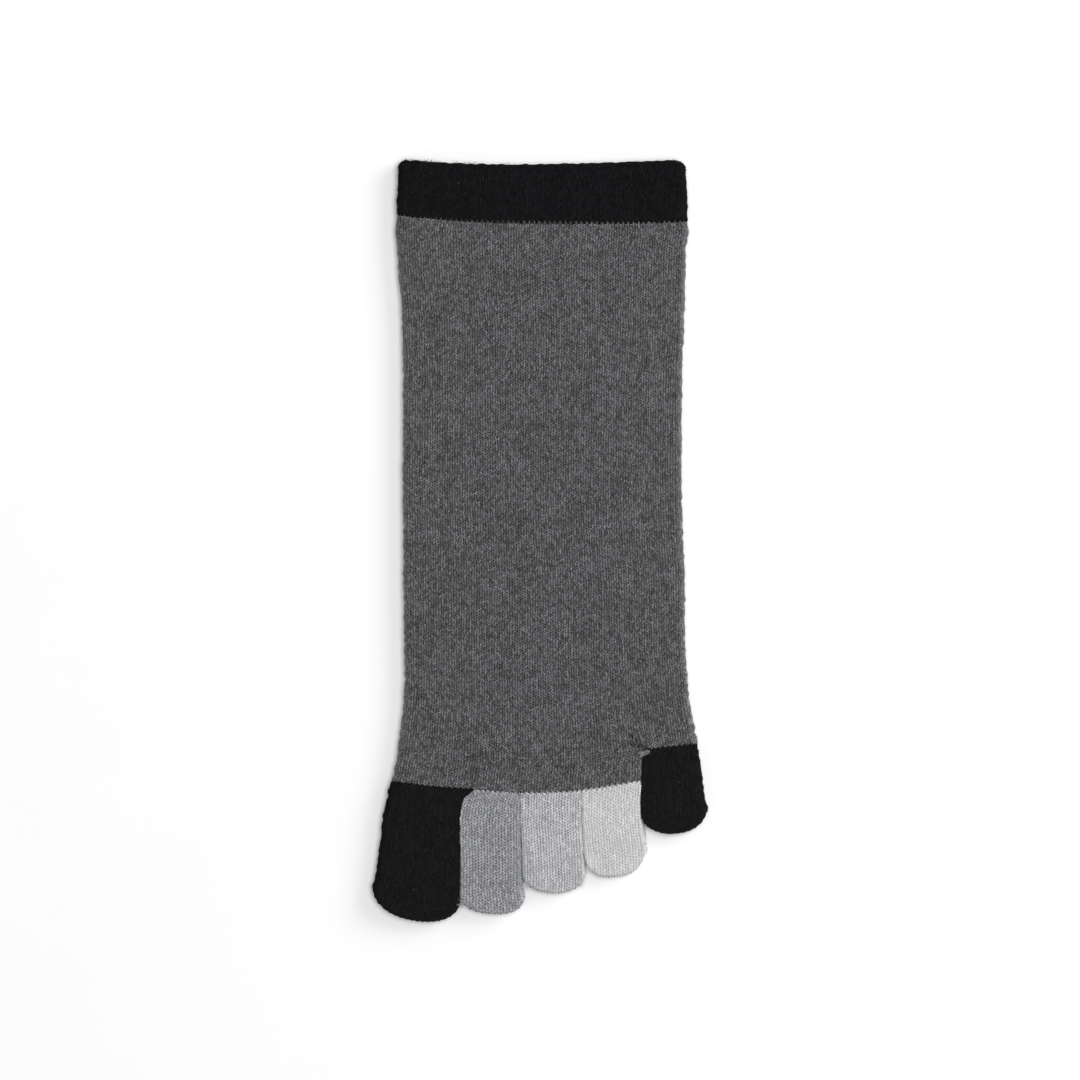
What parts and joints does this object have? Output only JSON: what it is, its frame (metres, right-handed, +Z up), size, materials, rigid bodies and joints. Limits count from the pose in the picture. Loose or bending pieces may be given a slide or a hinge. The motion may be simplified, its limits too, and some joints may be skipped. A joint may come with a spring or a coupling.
{
  "type": "toe sock",
  "caption": "Flat-lying knit toe sock with a dark cuff, a grey foot tube and a separate hollow pocket for each toe.",
  "frame": {"origin": "centre of the bounding box's underside, on the surface that the sock lies on", "axes": "+Y along the foot from the toes to the cuff, +X from the big toe to the little toe, +Z up from the surface"},
  "size_m": [0.1058, 0.2412, 0.008],
  "materials": {
    "black_yarn": "matte knit",
    "grey_yarn": "matte knit, marled",
    "mid_grey_yarn": "matte knit, marled",
    "light_grey_yarn": "matte knit, marled",
    "pale_grey_yarn": "matte knit, marled"
  },
  "bodies": {
    "root": {"cuff": "black_yarn", "foot": "grey_yarn", "big_toe": "black_yarn", "second_toe": "mid_grey_yarn", "third_toe": "light_grey_yarn", "fourth_toe": "pale_grey_yarn", "little_toe": "black_yarn"}
  },
  "joints": []
}
